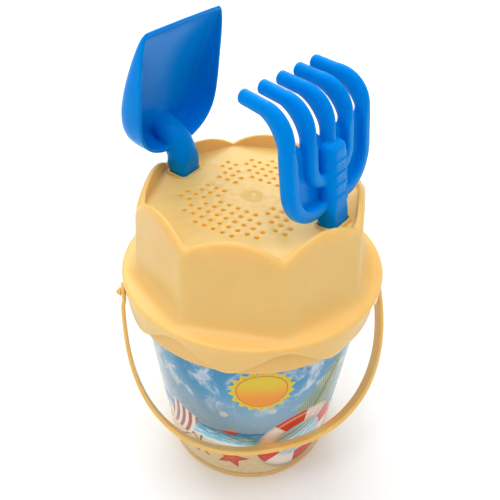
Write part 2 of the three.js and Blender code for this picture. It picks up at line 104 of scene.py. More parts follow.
# Mould
SIEVE_TOP = 218.5
CEILING = SIEVE_TOP - 2.2  # the sieve's underside
TOWER_TOP_CORNER = 76.6  # radius to the eight corners
TOWER_FOOT_CORNER = 80.9
TOWER_FOOT = 173
TOWER_ROUND = 8
TOWER_RINGS = (212, 206, 200, 194, 188, 183)
MOULD_WALL = 2
INSIDE_ROUND = 6.5
CREST_CORNER = 219.2  # height of the valleys between the arches
CREST_RISE = 9.6
CREST_SOFTNESS = 1.1
CREST_WIDTH = 5.4
CREST_INNER_EDGE = 0.85
CREST_OUTER_EDGE = (4.2, 6.8)  # inward and down
CREST_FILLET = 0.9
CREST_ROUND = 24
FLANGE_FILLET = (180, 168.9)  # heights where the curve on to the flange starts and ends
FLANGE_TOP = 168.4
FLANGE_SHOULDER = 2.4
SKIRT_RADIUS = MOULD[1][0]
SKIRT_INNER = 87.2
SKIRT_MEAN = 154.4
SKIRT_WAVE = 7.9
SKIRT_EDGE = 0.8
SKIRT_TAPER = 1.0
MOULD_INSET = 0.1  # the flange stays this far inside the CAD's
SIDES = 8
SIDE_ANGLE = 2 * math.pi / SIDES
RING_STEPS = 512

# Sieve holes
HOLE_RADIUS = 1.5
HOLE_BEVEL = 0.35
HOLE_FIRST = 3.9
HOLE_PITCH = 4.7
HOLE_FIELD = (14.5, 47.5)  # marks up to the first radius, holes up to the second
HOLE_SIDES = 20
GATE_RADIUS = 6.5
GATE_SIDES = 48
SOCKET_AISLE = 5  # no holes within this distance of the line between the sockets
SOCKET_CLEAR = (36, 17)  # from this far out, none within this distance of it

# Tools
SOCKET_CENTRE = 56.5
SHOVEL_STAND = (135, 0)  # angle round the mould, and twist from facing outward
RAKE_STAND = (-45, -5)
TOOL_LEAN = 7.5
SHANK = (18.4, 12.5)  # width and depth at the sieve
SHANK_CORNER = 3
SHANK_DEPTH = 95
SHANK_TAPER = (1.7, 1.2)  # taken off each side by the bottom end
TAPER_START = -4
TAPER_LENGTH = 89
SOCKET_CLEARANCE = 0.6
LIP_WIDTH = 1.2
LIP_HEIGHT = 2
STRAP_GRID, TOOL_GRID = 0.7, 0.8  # grid steps of the field surfaces


# ---------- making pieces ----------

def add_object(name, data):
    added = bpy.data.objects.new(name, data)
    bpy.context.scene.collection.objects.link(added)
    return added


def new_piece(name, points, faces, body, slot, material, *replaced):
    """A smooth mesh piece from points in millimetres in the part's frame."""
    mesh = bpy.data.meshes.new(name)
    mesh.from_pydata((np.asarray(points, float) * MM).tolist(), [], [list(map(int, f)) for f in faces])
    mesh.validate()
    mesh.shade_smooth()
    mesh.materials.append(material)
    piece = add_object(name, mesh)
    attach(piece, body)
    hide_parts(*replaced)
    return piece


def outward(points, faces):
    """The faces, turned so that they enclose a positive volume."""
    p = np.asarray(points, float)
    volume = 0.0
    for face in faces:
        for i in range(1, len(face) - 1):
            volume += np.dot(p[face[0]], np.cross(p[face[i]], p[face[i + 1]]))
    return faces if volume > 0 else [tuple(reversed(face)) for face in faces]


def round_profile(corners, arc_steps=6):
    """Replaces each corner (r, z, radius) of a profile with an arc."""
    points = []
    count = len(corners)
    for i, (x, y, radius) in enumerate(corners):
        here = np.array([x, y], float)
        if radius <= 0 or i in (0, count - 1):
            points.append(here)
            continue
        before = np.array(corners[i - 1][:2], float) - here
        after = np.array(corners[i + 1][:2], float) - here
        a, b = before / np.linalg.norm(before), after / np.linalg.norm(after)
        half = math.acos(np.clip(np.dot(a, b), -1, 1)) / 2
        setback = min(radius / math.tan(half), 0.49 * np.linalg.norm(before), 0.49 * np.linalg.norm(after))
        radius = setback * math.tan(half)
        centre = here + (a + b) / np.linalg.norm(a + b) * radius / math.sin(half)
        start, end = here + a * setback - centre, here + b * setback - centre
        turn = math.atan2(start[0] * end[1] - start[1] * end[0], np.dot(start, end))
        for k in range(arc_steps + 1):
            angle = turn * k / arc_steps
            c, s = math.cos(angle), math.sin(angle)
            points.append(centre + np.array([c * start[0] - s * start[1], s * start[0] + c * start[1]]))
    return np.array(points)


def grid_faces(rows, columns, start=0, close_rows=False, close_columns=True):
    """Quads over a grid of points, one row after another."""
    faces = []
    for r in range(rows if close_rows else rows - 1):
        for c in range(columns if close_columns else columns - 1):
            a, b = start + r * columns, start + (r + 1) % rows * columns
            d = (c + 1) % columns
            faces.append((a + c, a + d, b + d, b + c))
    return faces


def turned(profile, steps=192):
    """A body of revolution about Z. A profile that starts and ends on the axis gets a fan at each end."""
    angles = np.arange(steps) * 2 * math.pi / steps
    on_axis = profile[0][0] < 1e-6
    rows = profile[1:-1] if on_axis else profile
    points = [(r * math.cos(a), r * math.sin(a), z) for r, z in rows for a in angles]
    faces = grid_faces(len(rows), steps, close_rows=not on_axis)
    if on_axis:
        for pole, row in ((profile[0], 0), (profile[-1], len(rows) - 1)):
            points.append((0, 0, pole[1]))
            hub = len(points) - 1
            for c in range(steps):
                pair = (row * steps + c, row * steps + (c + 1) % steps)
                faces.append((hub, *pair) if row else (hub, *reversed(pair)))
    return points, outward(points, faces)


def joined(*parts):
    """One set of points and faces from several closed skins."""
    points, faces = [], []
    for more_points, more_faces in parts:
        offset = len(points)
        points += [tuple(p) for p in more_points]
        faces += [tuple(i + offset for i in face) for face in more_faces]
    return points, faces


def blend(a, b, share):
    return a + (b - a) * share


def placed(matrix, points):
    p = np.asarray(points, float)
    m = np.array(matrix)
    return p @ m[:3, :3].T + m[:3, 3]


# ---------- distance fields, for the fused shapes of the tools ----------

def round_max(a, b, radius):
    """Intersection of two fields with the edge between them rounded."""
    outside = np.hypot(np.maximum(a + radius, 0), np.maximum(b + radius, 0))
    return np.minimum(np.maximum(a, b), -radius) + outside


def round_min(a, b, radius):
    """Union of two fields with a fillet between them."""
    return -round_max(-a, -b, radius)


def rectangle_field(x, y, half_x, half_y, corner):
    return round_max(np.abs(x) - half_x, np.abs(y) - half_y, corner)


def smooth_share(share):
    """A share of 0 to 1 eased in and out."""
    return share * share * (3 - 2 * share)


def polyline_field(u, v, line):
    """Distance from points (u, v) to a polyline, the share along it, and the side as a sign."""
    best = np.full(u.shape, 1e9)
    share = np.zeros(u.shape)
    side = np.ones(u.shape)
    lengths = np.hypot(*(line[1:] - line[:-1]).T)
    total = lengths.sum()
    run = 0.0
    for start, end, length in zip(line[:-1], line[1:], lengths):
        d = (end - start) / length
        along = np.clip((u - start[0]) * d[0] + (v - start[1]) * d[1], 0, length)
        gap_u, gap_v = u - start[0] - along * d[0], v - start[1] - along * d[1]
        gap = np.hypot(gap_u, gap_v)
        closer = gap < best - 1e-9
        best = np.where(closer, gap, best)
        share = np.where(closer, (run + along) / total, share)
        side = np.where(closer, np.sign(d[0] * gap_v - d[1] * gap_u + 1e-12), side)
        run += length
    return best, share, side


def gradient(field, points):
    reach = 0.02
    steps = reach * np.eye(3)
    return np.stack([(field(points + step) - field(points - step)) / (2 * reach) for step in steps], 1)


def pull_to_surface(field, points, limit, rounds=1):
    """Moves points along the field's slope until it is zero, by no more than the limit in each round."""
    for _ in range(rounds):
        value = field(points)
        slope = gradient(field, points)
        steep = np.maximum((slope * slope).sum(1), 0.05)
        move = -slope * (value / steep)[:, None]
        length = np.maximum(np.linalg.norm(move, axis=1), 1e-12)
        points = points + move * np.minimum(1, limit / length)[:, None]
    return points


def sample_field(field, low, high, step):
    """The field at each point of a grid. Blocks that lie far from the surface take their centre's value."""
    block = 4
    blocks = np.ceil((np.array(high, float) - low) / (block * step)).astype(int)
    centres = [low[i] + block * step * (np.arange(blocks[i]) + 0.5) for i in range(3)]
    coarse = field(np.stack(np.meshgrid(*centres, indexing="ij"), -1).reshape(-1, 3)).reshape(blocks)
    near = np.abs(coarse) < block * step * 1.3
    owner = np.ix_(*[np.minimum(np.arange(count * block + 1) // block, count - 1) for count in blocks])
    value = coarse[owner]
    where = np.argwhere(near[owner])
    value[tuple(where.T)] = field(low + where * step)
    return value


def crossed_cells(value):
    """A point in each cell that the surface crosses, in grid steps, and a grid of the cells' numbers."""
    inside = value < 0
    ends = [slice(0, -1), slice(1, None)]
    corners = [inside[i, j, k] for i in ends for j in ends for k in ends]
    crossed = np.logical_or.reduce(corners) & ~np.logical_and.reduce(corners)
    number = np.full(crossed.shape, -1)
    cells = np.argwhere(crossed)
    number[tuple(cells.T)] = np.arange(len(cells))

    total, count = np.zeros((len(cells), 3)), np.zeros(len(cells))
    for axis in range(3):
        others = [a for a in range(3) if a != axis]
        for p in (0, 1):
            for q in (0, 1):
                start = cells.copy()
                start[:, others] += (p, q)
                end = start.copy()
                end[:, axis] += 1
                a, b = value[tuple(start.T)], value[tuple(end.T)]
                cut = (a < 0) != (b < 0)
                point = start.astype(float)
                point[:, axis] += np.where(cut, a / np.where(cut, a - b, 1), 0)
                total += point * cut[:, None]
                count += cut
    return total / count[:, None], number


def crossing_quads(inside, number):
    """A quad round each grid edge that the surface crosses, through its four cells' points."""
    quads = []
    for axis in range(3):
        span, after = [slice(None)] * 3, [slice(None)] * 3
        span[axis], after[axis] = slice(0, -1), slice(1, None)
        a, b = inside[tuple(span)], inside[tuple(after)]
        edges = np.argwhere(a != b)
        leaving = a[tuple(edges.T)]
        ring = []
        for p, q in ((-1, -1), (0, -1), (0, 0), (-1, 0)):
            around = edges.copy()
            around[:, [(axis + 1) % 3, (axis + 2) % 3]] += (p, q)
            ring.append(number[tuple(around.T)])
        ring = np.stack(ring, 1)
        quads.append(np.where(leaving[:, None], ring, ring[:, ::-1]))
    return np.concatenate(quads)


def space_evenly(field, points, quads, step):
    """Slides points along the surface towards the middle of their neighbours."""
    links = np.concatenate([quads[:, [0, 1]], quads[:, [1, 2]], quads[:, [2, 3]], quads[:, [3, 0]]])
    links = np.concatenate([links, links[:, ::-1]])
    start, end = links.T
    valence = np.bincount(start, minlength=len(points))
    for _ in range(3):
        middle = np.stack([np.bincount(start, points[end, i], len(points)) for i in range(3)], 1)
        points = points + 0.5 * (middle / valence[:, None] - points)
        points = pull_to_surface(field, points, step)
    return pull_to_surface(field, points, step)


def field_surface(field, low, high, step):
    """The closed surface where a distance field is zero, as points and quads."""
    low = np.array(low, float)
    value = sample_field(field, low, high, step)
    points, number = crossed_cells(value)
    quads = crossing_quads(value < 0, number)
    points = pull_to_surface(field, low + step * points, step, 2)
    return space_evenly(field, points, quads, step), quads


# ---------- materials ----------

class Nodes:
    """Short calls for building a node tree."""

    def __init__(self, name):
        self.material = bpy.data.materials.new(name)
        self.material.use_nodes = True
        self.tree = self.material.node_tree
        self.shader = self.tree.nodes["Principled BSDF"]

    def add(self, kind, **settings):
        node = self.tree.nodes.new(kind)
        for key, value in settings.items():
            setattr(node, key, value)
        return node

    def link(self, source, target):
        self.tree.links.new(source, target)

    def feed(self, target, value):
        if isinstance(value, bpy.types.NodeSocket):
            self.link(value, target)
        else:
            target.default_value = value

    def position(self):
        return self.add("ShaderNodeTexCoord").outputs["Object"]

    def place(self):
        """The position's X, Y and Z in millimetres."""
        split = self.add("ShaderNodeSeparateXYZ")
        self.link(self.position(), split.inputs[0])
        return [Value(self, output) / MM for output in split.outputs]

    def noise(self, scale, detail=2.0, roughness=0.5, where=None, distortion=0.0):
        node = self.add("ShaderNodeTexNoise")
        self.link(where or self.position(), node.inputs["Vector"])
        node.inputs["Scale"].default_value = scale
        node.inputs["Detail"].default_value = detail
        node.inputs["Roughness"].default_value = roughness
        node.inputs["Distortion"].default_value = distortion
        return node.outputs["Fac"]

    def math(self, operation, *values):
        node = self.add("ShaderNodeMath", operation=operation)
        for socket, value in zip(node.inputs, values):
            self.feed(socket, value)
        return node.outputs[0]

    def ramp(self, value, low, high, out_low=0.0, out_high=1.0):
        node = self.add("ShaderNodeMapRange", interpolation_type="SMOOTHSTEP")
        self.feed(node.inputs["Value"], value)
        self.feed(node.inputs["From Min"], low)
        self.feed(node.inputs["From Max"], high)
        node.inputs["To Min"].default_value = out_low
        node.inputs["To Max"].default_value = out_high
        return node.outputs["Result"]

    def mix(self, share, *shades):
        """Between two shades, each a colour or a socket. A mix node's colour sockets come last."""
        node = self.add("ShaderNodeMix", data_type="RGBA")
        self.feed(node.inputs["Factor"], share)
        for socket, shade in zip(node.inputs[6:8], shades):
            self.feed(socket, shade if isinstance(shade, bpy.types.NodeSocket) else (*shade, 1))
        return node.outputs[2]

    def bump(self, height, strength, distance):
        node = self.add("ShaderNodeBump")
        node.inputs["Strength"].default_value = strength
        node.inputs["Distance"].default_value = distance
        self.link(height, node.inputs["Height"])
        self.link(node.outputs["Normal"], self.shader.inputs["Normal"])


class Value:
    """A number in a node tree that can be written into sums."""

    def __init__(self, nodes, socket):
        self.nodes, self.socket = nodes, socket

    def call(self, operation, *others):
        inputs = [other.socket if isinstance(other, Value) else other for other in others]
        return Value(self.nodes, self.nodes.math(operation, self.socket, *inputs))

    def __add__(self, other):
        return self.call("ADD", other)

    def __sub__(self, other):
        return self.call("SUBTRACT", other)

    def __mul__(self, other):
        return self.call("MULTIPLY", other)

    def __truediv__(self, other):
        return self.call("DIVIDE", other)

    def below(self, limit, softness):
        """One where the number is under the limit and nothing above it, with a soft edge."""
        return Value(self.nodes, self.nodes.ramp(self.socket, limit - softness, limit + softness, 1.0, 0.0))

    def above(self, limit, softness):
        return (self * -1).below(-limit, softness)


def colour(*screen):
    """Screen values of 0 to 255 as the linear values that materials use."""
    return tuple(v / 255 / 12.92 if v < 10.3 else ((v / 255 + 0.055) / 1.055) ** 2.4 for v in screen)


def moulded_plastic(name, base, deep, roughness, specular, scatter, scatter_radius, ior=1.49,
                    gloss=(1, 1, 1)):
    """Injection-moulded plastic: faint flow mottling, a satin skin with fine scuffs, and soft scatter."""
    n = Nodes(name)
    flow = n.noise(26, detail=3, distortion=0.6)
    grain = n.noise(900)
    scuff = n.noise(240, detail=6, roughness=0.7)
    n.link(n.mix(n.ramp(flow, 0.3, 0.72), base, deep), n.shader.inputs["Base Color"])
    rough = n.math("ADD", n.ramp(flow, 0.25, 0.75, roughness - 0.03, roughness + 0.03),
                   n.ramp(scuff, 0.55, 0.8, 0, 0.07))
    n.link(rough, n.shader.inputs["Roughness"])
    n.shader.inputs["IOR"].default_value = ior
    n.shader.inputs["Specular IOR Level"].default_value = specular
    n.shader.inputs["Specular Tint"].default_value = (*gloss, 1)
    n.shader.inputs["Subsurface Weight"].default_value = scatter
    n.shader.inputs["Subsurface Radius"].default_value = scatter_radius
    n.shader.inputs["Subsurface Scale"].default_value = MM
    n.bump(n.math("ADD", flow, n.math("MULTIPLY", grain, 0.12)), 0.25, 0.0002)
    return n


WARM_SCATTER = (3.0, 2.0, 0.8)
COOL_SCATTER = (0.1, 1.2, 2.6)
CREAM = moulded_plastic("cream_plastic", colour(247, 200, 116), colour(243, 194, 109), 0.34, 0.3, 0.3,
                        WARM_SCATTER).material
CREAM_STRAP = moulded_plastic("cream_strap_plastic", colour(248, 205, 126), colour(245, 199, 118),
                              0.34, 0.3, 0.9, WARM_SCATTER).material
BLUE = moulded_plastic("blue_plastic", colour(0, 146, 236), colour(0, 139, 228), 0.2, 0.5, 0.6,
                       COOL_SCATTER, 1.22, (0.05, 0.55, 1)).material


def mould_plastic():
    """The mould's thin walls let light through. Its inside and the walls of its holes get a painted glow, an
    orange emission, so they look lit.
    """
    n = moulded_plastic("cream_mould_plastic", colour(250, 205, 124), colour(247, 200, 117), 0.32, 0.4, 0.8,
                        WARM_SCATTER)
    x, y, z = n.place()
    core = 64
    inside = z.below(SIEVE_TOP - 0.4, 0.2) * (x * x + y * y).below(core ** 2, 20)
    # painted glow: orange emission on faces below the sieve's face and within the core radius
    n.link(n.mix(inside.socket, (0, 0, 0), colour(236, 160, 10)), n.shader.inputs["Emission Color"])
    n.shader.inputs["Emission Strength"].default_value = 0.45
    return n.material


CREAM_MOULD_PAINTED_GLOW = mould_plastic()


# ---------- printed label ----------

PRINT_PERIOD = 180  # degrees, so the picture comes twice round
PRINT_START = -193
MM_PER_DEGREE = 1.22  # along the wall, for straight edges in the picture


class Print:
    """A picture laid on the label one shade over another. Places in it are an angle round the bucket, in
    degrees, and a height."""

    def __init__(self):
        self.nodes = Nodes("label_print")
        x, y, self.z = self.nodes.place()
        angle = y.call("ARCTAN2", x) / DEG
        self.angle = (angle - PRINT_START).call("FLOORED_MODULO", PRINT_PERIOD) + PRINT_START
        self.per_degree = (self.z * WALL_SLOPE + BASE_RADIUS) * DEG

    def offset(self, centre_angle, centre_z):
        return (self.angle - centre_angle) * self.per_degree, self.z - centre_z

    def polar(self, centre_angle, centre_z):
        u, v = self.offset(centre_angle, centre_z)
        return (u * u + v * v).call("SQRT"), v.call("ARCTAN2", u) / DEG

    def streaks(self, across, upward):
        where = self.nodes.add("ShaderNodeCombineXYZ")
        self.nodes.link((self.angle * across).socket, where.inputs["X"])
        self.nodes.link((self.z * upward).socket, where.inputs["Y"])
        return Value(self.nodes, self.nodes.noise(1.0, 4, 0.6, where.outputs[0], 0.5))

    def wedge(self, *corners):
        """Distance inside a convex outline, its corners given anticlockwise."""
        middle = sum(angle for angle, _ in corners) / len(corners)
        u, v = self.offset(middle, 0)
        inside = None
        for (a0, z0), (a1, z1) in zip(corners, [*corners[1:], corners[0]]):
            du, dv = (a1 - a0) * MM_PER_DEGREE, z1 - z0
            length = math.hypot(du, dv)
            gap = (v - z0) * (du / length) - (u - (a0 - middle) * MM_PER_DEGREE) * (dv / length)
            inside = gap if inside is None else inside.call("MINIMUM", gap)
        return inside

    def graded(self, share, *shades):
        return self.nodes.mix(share.socket, *shades)

    def lay(self, mask, shade):
        self.paint = self.graded(mask, self.paint, shade)


def sky(p):
    """Deep blue at the top in the middle and hazier low down. Towards the ends, where the picture repeats, it
    is laid paler: a painted reflection.
    """
    p.paint = p.graded(p.z.below(98, 26), colour(70, 160, 205), colour(140, 172, 192))
    p.lay((p.angle + 98).call("ABSOLUTE").below(40, 30) * p.z.above(112, 16), colour(45, 142, 190))
    p.lay(p.streaks(0.09, 0.06).above(0.56, 0.1) * p.z.above(92, 16) * 0.75, colour(232, 238, 242))
    # painted reflection: the sky fades pale and grey towards both ends of the picture
    pale = colour(232, 236, 240)
    p.lay(p.angle.below(-166, 20) * 0.85, pale)
    p.lay(p.angle.above(-40, 20) * 0.7, colour(205, 212, 208))
    p.lay(p.angle.above(-22, 7) * 0.85, pale)


def sun(p):
    """A plain sun: a ring of pointed rays, a thin outline and a graded face."""
    reach, bearing = p.polar(-97, 116)
    point = (bearing.call("FLOORED_MODULO", 20) - 10).call("ABSOLUTE") * 0.38
    p.lay((reach + point).below(22.8, 0.5), colour(228, 206, 30))
    p.lay((reach + point * 1.6).below(21.2, 0.7), colour(238, 188, 28))
    p.lay(reach.below(17.3, 0.3), colour(214, 84, 24))
    p.lay(reach.below(16.6, 0.4), p.graded(p.z.above(116, 11), colour(248, 150, 34), colour(236, 205, 34)))


def sea_and_sand(p):
    p.lay(p.z.below(64, 0.35), p.graded(p.z.above(57, 7), colour(112, 200, 226), colour(38, 132, 184)))
    p.lay(p.streaks(0.12, 0.42).above(0.55, 0.06) * p.z.below(60, 4), colour(222, 236, 240))
    shore = p.z + p.streaks(0.05, 0.0) * 9
    p.lay(shore.below(52.5, 1.6), colour(232, 238, 236))
    grains = p.streaks(1.3, 1.6).above(0.5, 0.14)
    p.lay(shore.below(49.5, 1.0), p.graded(grains, colour(218, 188, 130), colour(236, 214, 172)))


def boat(p):
    u, v = p.offset(-113.5, 64)
    hull = (u * u / 38 + v * v / 6).below(1, 0.12)
    p.lay(hull * v.below(0.8, 0.3), colour(206, 62, 26))
    p.lay(p.wedge((-115.5, 64.8), (-111.5, 64.8), (-113, 69)).above(0, 0.2), colour(240, 150, 50))


def painted_highlight_spots(p):
    # painted highlights: two soft pale spots laid over the label's sky
    for spot in ((-117, 86), (-90.5, 91)):
        p.lay(p.polar(*spot)[0].below(3, 0.5) * 0.8, colour(216, 212, 206))


def chair(p):
    """Striped cloth on wooden legs, each leg from one place to another."""
    thickness = 1.6
    for a0, z0, a1, z1 in ((-131, 21, -150, 66), (-139, 20, -134, 46), (-158, 20, -140, 44)):
        leg = p.wedge((a0, z0), (a0 + thickness, z0), (a1 + thickness, z1), (a1, z1))
        p.lay(leg.above(0, 0.25), colour(150, 100, 52))
    cloth = p.wedge((-161, 35), (-142, 38), (-133.5, 68), (-154, 74)).above(0, 0.3)
    u, v = p.offset(-148, 54)
    stripe_width, lean, sag = 6.4, 0.28, 0.008
    stripe = (u - v * lean + (v * v) * sag) * (2 * math.pi / stripe_width)
    p.lay(cloth, colour(238, 226, 214))
    p.lay(cloth * stripe.call("SINE").above(0, 0.16), colour(168, 62, 38))


def palm_frond(p):
    """A rib with leaflets swept along it, longest at its root."""
    u, v = p.offset(-64, 76)
    rib_u, rib_v = 18, 43
    rib = math.hypot(rib_u, rib_v)
    along = (u * rib_u + v * rib_v) / rib ** 2
    side = ((v * rib_u - u * rib_v) / rib).call("ABSOLUTE")
    leaflet_reach = (along * -1 + 1.02).call("MAXIMUM", 0.0).call("SQRT") * 17
    frond = along.above(-0.02, 0.03) * (side - leaflet_reach).below(0, 2.5)
    leaflets = ((along * rib - side * 1.5) * 1.9).call("SINE").above(0.1, 0.35)
    p.lay(frond * 0.35, colour(176, 196, 160))
    p.lay(frond * leaflets, colour(140, 160, 78))
    p.lay(frond * side.below(1.6, 0.7), colour(118, 138, 52))


def life_ring(p):
    """A red and white ring with its shadow, and rippled water seen through it."""
    outer, inner, panel_angle = 34, 19.5, 45
    shadow = p.polar(-67, 40)[0]
    p.lay(shadow.below(35, 2.5) * shadow.above(19, 2.5) * 0.35, colour(70, 62, 60))
    u, v = p.offset(-70, 45)
    reach, bearing = p.polar(-70, 45)
    ring = reach.below(outer, 0.4) * reach.above(inner, 0.4)
    within = reach.below(inner, 0.4)
    ripple = (v * 1.1 - u * 0.5 + p.streaks(0.1, 0.1) * 3).call("SINE").above(0.1, 0.6)
    p.lay(within, colour(140, 198, 226))
    p.lay(within * ripple, colour(206, 228, 240))
    p.lay(ring, colour(246, 232, 220))
    panel = (bearing + 4).call("FLOORED_MODULO", 2 * panel_angle) - panel_angle / 2
    p.lay(ring * panel.call("ABSOLUTE").below(panel_angle / 2, 0.6), colour(222, 52, 22))
    from_middle = (reach - (outer + inner) / 2).call("ABSOLUTE")
    p.lay(ring * from_middle.above(5.2, 2.6) * 0.3, colour(120, 50, 40))
    highlight = (reach - 30).call("ABSOLUTE").below(1.2, 1.0) * bearing.above(60, 30) * bearing.below(140, 30)
    p.lay(ring * highlight * 0.35, colour(255, 250, 245))


def starfish(p):
    reach, bearing = p.polar(-113.5, 28)
    tip, notch, half = 14.0, 6.0, 36
    arm = ((bearing - 39).call("FLOORED_MODULO", 2 * half) - half).call("ABSOLUTE") * DEG
    across = arm.call("SINE") * tip + (arm * -1 + half * DEG).call("SINE") * notch
    share = reach * across / (tip * notch * math.sin(half * DEG))
    p.lay(share.below(1, 0.05), colour(204, 66, 42))
    p.lay(share.below(0.5, 0.35) * 0.6, colour(232, 110, 66))


def bare_foot(p):
    p.lay(p.z.below(6.6, 0.2), colour(240, 188, 108))


MOTIFS = (sky, sun, sea_and_sand, boat, painted_highlight_spots, chair, palm_frond, life_ring, starfish, bare_foot)


def beach_print():
    picture = Print()
    for motif in MOTIFS:
        motif(picture)
    n = picture.nodes
    n.link(picture.paint, n.shader.inputs["Base Color"])
    n.link(n.ramp(n.noise(160, detail=4), 0.3, 0.8, 0.2, 0.3), n.shader.inputs["Roughness"])
    n.shader.inputs["Specular IOR Level"].default_value = 0.35
    n.bump(n.noise(30), 0.1, 0.0002)
    return n.material


PRINT = beach_print()


# ---------- bucket ----------

def wall_radius(z):
    return BASE_RADIUS + WALL_SLOPE * z


def bucket():
    foot = BASE_RADIUS + FOOT_PROUD
    tub = turned(round_profile([
        (0, 0, 0),
        (foot, 0, 1.4),
        (foot, FOOT_HEIGHT, 0.6),
        (wall_radius(FOOT_HEIGHT), FOOT_HEIGHT, 0.3),
        (wall_radius(RIM_TOP - WALL), RIM_TOP - WALL, 0.8),
        (RIM_RADIUS - WALL, RIM_TOP - WALL, 0.8),
        (RIM_RADIUS - WALL, RIM_BOTTOM, 0.6),
        (RIM_RADIUS, RIM_BOTTOM, 0.6),
        (RIM_RADIUS, RIM_TOP, 2.2),
        (wall_radius(RIM_TOP) - WALL, RIM_TOP, 1.0),
        (wall_radius(FLOOR) - WALL, FLOOR, 4.5),
        (0, FLOOR, 0),
    ]), 256)
    pin = turned(round_profile([
        (0, RIM_RADIUS - 1, 0),
        (PIN_SHOULDER[0] + 0.8, RIM_RADIUS - 1, 0.2),
        (PIN_SHOULDER[0], RIM_RADIUS + 0.8, 0.6),
        (*PIN_SHOULDER, 0.5),
        (PIN_RADIUS, PIN_SHOULDER[1], 0.3),
        (PIN_RADIUS, BARB_START, 0.3),
        (BARB_RADIUS, BARB_START, 0.5),
        (0.9, BARB_END, 0.7),
        (0, BARB_END, 0),
    ], 5), 48)
    pins = []
    for side in (1, -1):
        turn = Matrix.Translation((0, 0, PIN_Z)) @ Matrix.Rotation(side * math.pi / 2, 4, "Y")
        pins.append((placed(turn, pin[0]), pin[1]))
    points, faces = joined(tub, *pins)
    new_piece("bucket_shell", points, faces, "bucket", "bucket_plastic", CREAM, "bucket_tub")


def label():
    heights = np.linspace(LABEL_LOW, LABEL_HIGH, 40)
    profile = [(wall_radius(z) + GAP + LABEL_THICKNESS, z) for z in heights]
    profile += [(wall_radius(z) + GAP, z) for z in heights[::-1]]
    points, faces = turned(profile, 256)
    new_piece("label_wrap", points, faces, "bucket", "label_print", PRINT, "label_film")


# ---------- strap ----------

def strap_half_width(reach):
    free = reach - STRAP_BAND / 2
    swell = (STRAP_HALF_WIDTH - STRAP_EYE_X) * (1 - math.exp(-free / STRAP_SWELL))
    along = max(0, (reach - BOW_START) / (STRAP_REACH - BOW_START))
    return (STRAP_EYE_X + swell) * (1 - along ** BOW_POWER) ** (1 / BOW_POWER)


def strap_line():
    """The middle of the strap in its own flat frame, from beyond the right eye round the bow to the left."""
    stations = 48
    low = STRAP_BAND / 2
    reaches = [low + free for free in (0, 0.6, 1.3, 2, 3, 4.2, 6, 8, 11)]
    shares = [math.sin((i + 1) / stations * math.pi / 2) for i in range(stations)]
    reaches += [low + share * (STRAP_REACH - low) for share in shares if share * (STRAP_REACH - low) > 13]
    right = [(STRAP_EYE_X, STRAP_BAND), (STRAP_EYE_X, 0)]
    right += [(strap_half_width(reach), -reach) for reach in reaches[:-1]]
    left = [(-x, y) for x, y in reversed(right)]
    return np.array([*right, (0, -STRAP_REACH), *left])


STRAP_LINE = strap_line()


def strap_field(p):
    x, y, across = p.T
    gap, _, _ = polyline_field(x, y, STRAP_LINE)
    bow = np.clip((-y - SWELL_START) / (STRAP_REACH - SWELL_START), 0, 1)
    thickness = STRAP_THICKNESS + BOW_SWELL * bow * bow
    width = np.where(y > 0, np.hypot(y, across), np.abs(across)) - STRAP_BAND / 2
    band = round_max(width, gap - thickness / 2, 0.8)
    return round_max(band, STRAP_EYE - np.hypot(y, across), 0.3)


def strap():
    points, quads = field_surface(strap_field, (-97, -130, -8), (97, 8, 8), STRAP_GRID)
    place = Matrix.Translation((0, 0, PIN_Z)) @ Matrix.Rotation((90 - STRAP_HANG) * DEG, 4, "X")
    new_piece("strap_band", placed(place, points), quads, "strap", "strap_plastic", CREAM_STRAP,
              "carry_strap")


# ---------- mould ----------

def side_angle(angle):
    return (angle % SIDE_ANGLE) - SIDE_ANGLE / 2


def octagon(corner, angle, rounding):
    """Radius of an eight-sided outline with rounded corners; the corners lie on the axes and diagonals."""
    off_corner = SIDE_ANGLE / 2 - abs(side_angle(angle))
    inradius = corner * math.cos(SIDE_ANGLE / 2)
    flat = inradius / math.cos(side_angle(angle))
    centre = (inradius - rounding) / math.cos(SIDE_ANGLE / 2)
    meeting = math.atan2(rounding * math.sin(SIDE_ANGLE / 2), centre + rounding * math.cos(SIDE_ANGLE / 2))
    if off_corner >= meeting:
        return flat
    across = centre * math.sin(off_corner)
    return centre * math.cos(off_corner) + math.sqrt(rounding * rounding - across * across)


def crest_height(angle):
    """Each side's crest is an arch; neighbouring arches meet in a soft valley."""
    here = math.tan(side_angle(angle)) / math.tan(SIDE_ANGLE / 2)
    beyond = 2 - abs(here)
    near, far = -here * here, -beyond * beyond
    arch = (near + far) / 2 + math.hypot((near - far) / 2, CREST_SOFTNESS / CREST_RISE)
    return CREST_CORNER + CREST_RISE * (1 + arch)


def skirt_edge(angle):
    return SKIRT_MEAN + SKIRT_WAVE * math.cos(SIDES * angle)


def tower(z):
    """The tower's corner radius at a height."""
    draft = (TOWER_FOOT_CORNER - TOWER_TOP_CORNER) / (SIEVE_TOP - TOWER_FOOT)
    return TOWER_TOP_CORNER + draft * (SIEVE_TOP - z)


def shares(steps, whole):
    return [k / steps * whole for k in range(steps + 1)]


